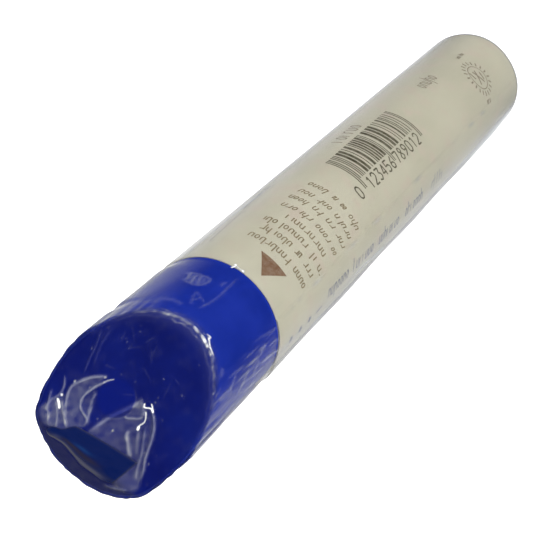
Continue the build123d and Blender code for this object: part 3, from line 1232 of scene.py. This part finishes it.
def build_tab(columns=90, rows=40):
    """Between the free edge on the slanted face and the pale edge on the nose:
    (1 - w) low(t) + w high(t), arched by sin(pi w) and rippled along t."""
    t, w = np.linspace(0, 1, columns), np.linspace(0, 1, rows)
    low, high = across_line(LOW_EDGE, t)[:, None], across_line(HIGH_EDGE, t)[:, None]
    flat = (1 - w)[None, :, None] * low + w[None, :, None] * high
    x, v = flat[..., 0], flat[..., 1]
    arch = 0.16 + 0.22 * np.sin(np.pi * w)[None, :] * np.sin(np.pi * t)[:, None] ** 0.5
    arch = arch + 0.03 * ripples(x, v * 2, 41, 9, 0.8, 3.0)
    under = on_the_end(x, v, arch - 0.05)[:, ::-1]
    loops = np.concatenate([on_the_end(x, v, arch), under], axis=1)
    around = 2 * rows
    quads = ring_quads(columns, around)
    k = np.arange(rows - 1)
    first = np.stack([around - 1 - k, around - 2 - k, k + 1, k], axis=1)
    last = (first + (columns - 1) * around)[:, ::-1]
    piece = new_piece("folded_film_tab", loops.reshape(-1, 3), np.concatenate([quads, first, last]))
    tt, ww = np.meshgrid(t, w, indexing="ij")
    strip = bell(ww - 0.91, 0.09) * window(0.02, 0.2, 0.7, 0.95, tt)
    strip = strip + 0.6 * bell(ww - 0.75, 0.2) * bell(tt - 0.14, 0.07)
    edge = bell(ww, 0.035) * 0.25 + bell(tt - 1, 0.012) * 0.3
    brown = bell(ww - 0.72 + 0.15 * tt, 0.09) * window(0.15, 0.35, 0.6, 0.85, tt)
    # A blue streak across the middle: a painted highlight.
    blue_highlight = bell(ww - 0.62 + 0.25 * tt, 0.06) * bell(tt - 0.5, 0.11)
    for name, values in (("pale", strip + edge), ("brown", brown), ("blue_highlight", blue_highlight)):
        paint_attribute(piece, name, np.concatenate([values, values[:, ::-1]], axis=1).ravel())
    return piece


film_tab = build_tab()
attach(film_tab, ROOT)

# %% [markdown]
# ## Film finish
#
# Clear film shows only its reflections: a glossy layer mixed over nothing by the Fresnel
# law. Haze is a pale matt layer, mixed in where the film is folded and where it is seen
# almost edge on; edge on, it is painted paler, as painted reflection, and the glints paint
# highlights into it. Glass shaders with refraction would darken the print for no gain.

# %% Film material
def film_material():
    """Clear film under a pale layer. The layer covers haze + glint + 0.45 t^2 + 0.5 t^8 of
    it, where t goes from 0 to 1 as the film is seen more and more edge on. Its colour is
    painted paler with t^5, as painted reflection, and near white with glint, as painted
    highlight."""
    material, tree = blank_material("clear_shrink_film")
    clear = add_node(tree, "ShaderNodeBsdfTransparent")
    shine = add_node(tree, "ShaderNodeBsdfGlossy", Roughness=0.10)
    fresnel = add_node(tree, "ShaderNodeFresnel", IOR=1.45)
    sheet = mixed(tree, fresnel.outputs[0], clear.outputs[0], shine.outputs[0])
    facing = tree.nodes.new("ShaderNodeLayerWeight")
    edge_on = spread(tree, facing.outputs["Facing"], 0.52, 1.0)
    slight = math_node(tree, "MULTIPLY", math_node(tree, "POWER", edge_on, 2.0), 0.45)
    strong = math_node(tree, "MULTIPLY", math_node(tree, "POWER", edge_on, 8.0), 0.5)
    haze = math_node(tree, "ADD", attribute(tree, "haze"), math_node(tree, "ADD", slight, strong))
    glint = attribute(tree, "glint")
    cover = math_node(tree, "MINIMUM", math_node(tree, "ADD", haze, glint), 1.0)
    # Painted reflection: the pale layer gets lighter as the film is seen edge on.
    grazing_reflection = math_node(tree, "POWER", edge_on, 5.0)
    pale = colour_mix(tree, grazing_reflection, (0.50, 0.52, 0.57), (0.86, 0.86, 0.84))
    # Painted highlight: the glint turns the pale layer near white.
    pale = colour_mix(tree, math_node(tree, "MINIMUM", glint, 1.0), pale, (0.95, 0.95, 0.95))
    dull = add_node(tree, "ShaderNodeBsdfPrincipled", Roughness=0.5)
    link(tree, pale, dull.inputs["Base Color"])
    finish_surface(tree, mixed(tree, cover, sheet.outputs[0], dull.outputs[0]))
    return material


def tab_material():
    """Dark glossy film with brown and pale places, and a blue painted highlight, by the tab's
    attributes.
    """
    material, tree = blank_material("folded_film")
    colour = colour_mix(tree, attribute(tree, "brown"), (0.0010, 0.006, 0.052), (0.012, 0.011, 0.030))
    colour = colour_mix(tree, attribute(tree, "blue_highlight"), colour, (0.004, 0.020, 0.090))
    colour = colour_mix(tree, attribute(tree, "pale"), colour, (0.056, 0.058, 0.085))
    shader = add_node(tree, "ShaderNodeBsdfPrincipled", Roughness=0.18)
    shader.inputs["Specular IOR Level"].default_value = 0.4
    link(tree, colour, shader.inputs["Base Color"])
    finish_surface(tree, shader)
    return material


dress(film_skin, film_material())
dress(film_tab, tab_material())

# %% [markdown]
# ## The camera
#
# The stick stands, and the camera looks down on its slanted face and is rolled round its
# own axis, so that the stick runs across the view from corner to corner. Turning the stick
# instead would take it out of its own frame.

# %% Camera
CAMERA_AZIMUTH = math.radians(-101.4)
CAMERA_REACH = 120.9 * MM  # from the stick's axis
CAMERA_HEIGHT = 247.6 * MM
AIM_HEIGHT = 88.2 * MM  # the point of the axis that the camera looks at
CAMERA_ROLL = math.radians(-133.26)
LENS = 92.2


def build_camera():
    """A camera that looks at a point of the axis, turned about its own axis by the roll.
    Returns it and the direction from that point towards it."""
    data = bpy.data.cameras.new("camera")
    data.lens = LENS
    data.sensor_width = 36
    camera = bpy.data.objects.new("camera", data)
    bpy.context.scene.collection.objects.link(camera)
    aside = Vector((math.cos(CAMERA_AZIMUTH), math.sin(CAMERA_AZIMUTH), 0))
    eye = CAMERA_REACH * aside + Vector((0, 0, CAMERA_HEIGHT))
    look = Vector((0, 0, AIM_HEIGHT)) - eye
    turned = look.to_track_quat("-Z", "Y").to_matrix() @ Matrix.Rotation(CAMERA_ROLL, 3, "Z")
    camera.matrix_world = Matrix.Translation(eye) @ turned.to_4x4()
    bpy.context.scene.camera = camera
    return camera, -look.normalized()


camera, towards_camera = build_camera()
print("direction towards the camera", [round(c, 3) for c in towards_camera])

# %% [markdown]
# ## The floor
#
# A plain white floor. The film mirrors it strongly, because it is seen at a slant, so what
# the film mirrors is set apart: dark in front, as if a black card lay there, and pale at
# the sides. A white floor all round would wash out the blue.

# %% Floor
FLOOR_GLOW = 0.75  # added to what the camera sees, so that the floor is as white as the tent
MIRRORED_WHITE = 0.6
MIRRORED_DARK = 0.03


def build_floor(size=3.0):
    """A white square. Rays that the film mirrors see it dark in front of the stick, where
    the camera stands, and white at the sides, as if a black card lay there."""
    half = size / 2
    corners = np.array([(-half, -half, 0), (half, -half, 0), (half, half, 0), (-half, half, 0)])
    floor = new_piece("floor", corners, np.array([[0, 1, 2, 3]]), smooth=False)
    material, tree = blank_material("white_floor")
    matt = add_node(tree, "ShaderNodeBsdfDiffuse", Color=(0.86, 0.86, 0.86, 1))
    glow = add_node(tree, "ShaderNodeEmission", Color=(1, 1, 1, 1), Strength=FLOOR_GLOW)
    lit = tree.nodes.new("ShaderNodeAddShader")
    link(tree, matt.outputs[0], lit.inputs[0])
    link(tree, glow.outputs[0], lit.inputs[1])
    direction = tree.nodes.new("ShaderNodeVectorMath")
    direction.operation = "NORMALIZE"
    link(tree, object_place(tree), direction.inputs[0])
    dot = tree.nodes.new("ShaderNodeVectorMath")
    dot.operation = "DOT_PRODUCT"
    link(tree, direction.outputs[0], dot.inputs[0])
    dot.inputs[1].default_value = (math.cos(CAMERA_AZIMUTH), math.sin(CAMERA_AZIMUTH), 0)
    level = spread(tree, dot.outputs["Value"], -0.35, 0.45, MIRRORED_WHITE, MIRRORED_DARK)
    card = add_node(tree, "ShaderNodeEmission", Color=(1, 1, 1, 1))
    link(tree, level, card.inputs["Strength"])
    path = tree.nodes.new("ShaderNodeLightPath")
    seen = mixed(tree, path.outputs["Is Camera Ray"], matt.outputs[0], lit.outputs[0])
    finish_surface(tree, mixed(tree, path.outputs["Is Glossy Ray"], seen.outputs[0], card.outputs[0]))
    dress(floor, material)
    return floor


floor = build_floor()

# %% [markdown]
# ## The light
#
# An even white tent with an opening round the camera, and three soft lamps that give the
# round bar its shading. The lamps aren't mirrored, since real ones would be behind cloth.
# Area lamps would do as well, but they need a place and a size as well as a direction.

# %% Light
MIRRORED_TENT = 0.2


def light_tent(strength=1.0, open_share=0.1):
    """An even white world, dark within about 40 degrees of the camera. What the camera sees
    of it directly is plain white."""
    world = bpy.data.worlds.new("light_tent")
    world.use_nodes = True
    tree = world.node_tree
    tree.nodes.clear()
    place = tree.nodes.new("ShaderNodeTexCoord")
    dot = tree.nodes.new("ShaderNodeVectorMath")
    dot.operation = "DOT_PRODUCT"
    link(tree, place.outputs["Generated"], dot.inputs[0])
    dot.inputs[1].default_value = towards_camera
    outer, inner = math.cos(math.radians(55)), math.cos(math.radians(25))
    level = spread(tree, dot.outputs["Value"], outer, inner, strength, strength * open_share)
    path = tree.nodes.new("ShaderNodeLightPath")
    mirrored = spread(tree, path.outputs["Is Glossy Ray"], 0, 1, 1.0, MIRRORED_TENT)
    tent = add_node(tree, "ShaderNodeBackground", Color=(1, 1, 1, 1))
    link(tree, math_node(tree, "MULTIPLY", level, mirrored), tent.inputs["Strength"])
    plain = add_node(tree, "ShaderNodeBackground", Color=(1, 1, 1, 1), Strength=1.0)
    choice = mixed(tree, path.outputs["Is Camera Ray"], tent.outputs[0], plain.outputs[0])
    output = tree.nodes.new("ShaderNodeOutputWorld")
    link(tree, choice.outputs[0], output.inputs[0])
    bpy.context.scene.world = world


def soft_lamp(name, azimuth, height, strength, softness=70):
    """A sun lamp that lights matt surfaces but isn't mirrored by glossy ones."""
    data = bpy.data.lights.new(name, "SUN")
    data.energy = strength
    data.angle = math.radians(softness)
    lamp = bpy.data.objects.new(name, data)
    bpy.context.scene.collection.objects.link(lamp)
    turn, lift = math.radians(azimuth), math.radians(height)
    level = math.cos(lift)
    from_there = Vector((level * math.cos(turn), level * math.sin(turn), math.sin(lift)))
    lamp.matrix_world = from_there.to_track_quat("Z", "Y").to_matrix().to_4x4()
    lamp.visible_glossy = False


light_tent()
soft_lamp("front_lamp", azimuth=-98, height=34, strength=2.6)
soft_lamp("right_lamp", azimuth=-165, height=20, strength=1.3)
soft_lamp("left_lamp", azimuth=-35, height=20, strength=1.0)

bpy.context.scene.view_settings.view_transform = "Standard"
